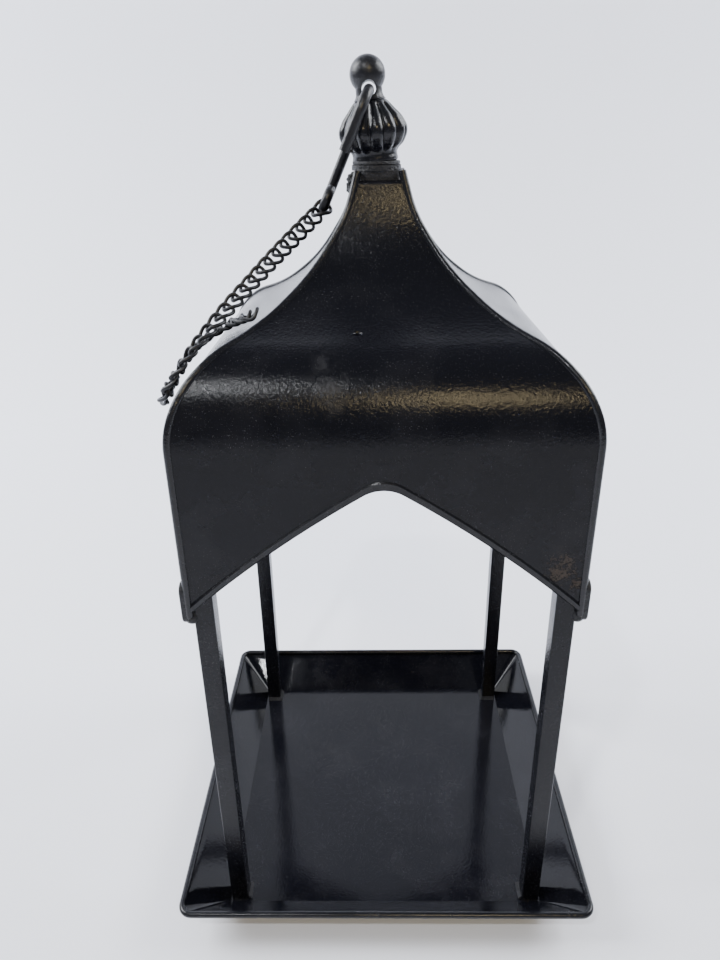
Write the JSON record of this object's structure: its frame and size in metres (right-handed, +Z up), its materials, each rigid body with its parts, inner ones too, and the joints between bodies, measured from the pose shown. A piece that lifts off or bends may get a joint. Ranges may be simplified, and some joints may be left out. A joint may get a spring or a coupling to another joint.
{
  "type": "candle lantern",
  "caption": "Open-sided candle lantern: square tray, corner posts, curved pointed roof with arched skirts, ribbed finial, swinging wire hook and hanging chain.",
  "frame": {"origin": "centre of the tray floor, on the ground it stands on", "axes": "+Z up along the posts; -Y is the front; the chain hangs over the -X side"},
  "size_m": [0.19, 0.19, 0.3651],
  "materials": {
    "frame_paint": "gloss black paint on steel sheet and square bar",
    "roof_paint": "gloss black paint with fine orange peel",
    "edge_paint": "gloss black paint over bent wire, folded hems and welds",
    "finial_paint": "gloss black paint over a ribbed turning",
    "weld": "painted weld, rough",
    "hook_paint": "black paint on round wire, slightly worn",
    "chain_paint": "black paint on small twisted links, worn at the crowns"
  },
  "bodies": {
    "lantern": {"corner_ear_back_left": "edge_paint", "corner_ear_back_right": "edge_paint", "corner_ear_front_left": "edge_paint", "corner_ear_front_right": "edge_paint", "finial_ball": "finial_paint", "finial_onion": "finial_paint", "hem_back": "edge_paint", "hem_front": "edge_paint", "hem_left": "edge_paint", "hem_right": "edge_paint", "neck_plug": "finial_paint", "neck_ring": "finial_paint", "post_back_left": "frame_paint", "post_back_right": "frame_paint", "post_foot_welds": "weld", "post_front_left": "frame_paint", "post_front_right": "frame_paint", "roof_back": "roof_paint", "roof_front": "roof_paint", "roof_left": "roof_paint", "roof_right": "roof_paint", "seam_bead_back_left": "edge_paint", "seam_bead_back_right": "edge_paint", "seam_bead_front_left": "edge_paint", "seam_bead_front_right": "edge_paint", "tray_pan": "frame_paint", "tray_rim_wire": "frame_paint"},
    "hook": {"hook": "hook_paint"},
    "chain_upper": {"chain_link_01": "chain_paint", "chain_link_02": "chain_paint", "chain_link_03": "chain_paint", "chain_link_04": "chain_paint", "chain_link_05": "chain_paint"},
    "chain_middle": {"chain_link_06": "chain_paint", "chain_link_07": "chain_paint", "chain_link_08": "chain_paint", "chain_link_09": "chain_paint"},
    "chain_lower": {"chain_link_10": "chain_paint", "chain_link_11": "chain_paint", "chain_link_12": "chain_paint", "chain_link_13": "chain_paint", "chain_link_14": "chain_paint", "chain_link_15": "chain_paint", "chain_link_16": "chain_paint", "chain_link_17": "chain_paint", "chain_link_18": "chain_paint", "chain_link_19": "chain_paint", "chain_link_20": "chain_paint", "chain_link_21": "chain_paint", "chain_link_22": "chain_paint", "chain_link_23": "chain_paint", "chain_link_24": "chain_paint", "chain_link_25": "chain_paint", "chain_link_26": "chain_paint", "chain_link_27": "chain_paint"},
    "chain_tail": {"chain_link_28": "chain_paint", "chain_link_29": "chain_paint", "chain_link_30": "chain_paint", "chain_link_31": "chain_paint", "chain_link_32": "chain_paint"}
  },
  "joints": [
    {"name": "hook_swing", "type": "hinge", "parent": "lantern", "child": "hook", "pos_m": [-0.004, 0, 0.35307], "axis": [0, 1, 0], "range_deg": [0, 180]},
    {"name": "chain_at_eye", "type": "hinge", "parent": "hook", "child": "chain_upper", "pos_m": [-0.02296, 0.00703, 0.31148], "axis": [-0.3269, 0.6159, -0.7168], "range_deg": [0, 50]},
    {"name": "chain_upper_bend", "type": "hinge", "parent": "chain_upper", "child": "chain_middle", "pos_m": [-0.03698, -0.01255, 0.29938], "axis": [-0.8194, 0.5733, 0], "range_deg": [0, 30]},
    {"name": "chain_middle_bend", "type": "hinge", "parent": "chain_middle", "child": "chain_lower", "pos_m": [-0.04814, -0.0291, 0.28923], "axis": [-0.8371, 0.5471, 0], "range_deg": [0, 30]},
    {"name": "chain_tail_swing", "type": "hinge", "parent": "chain_lower", "child": "chain_tail", "pos_m": [-0.06738, -0.02964, 0.2677], "axis": [-0.5501, 0, 0.8351], "range_deg": [0, 35]}
  ]
}
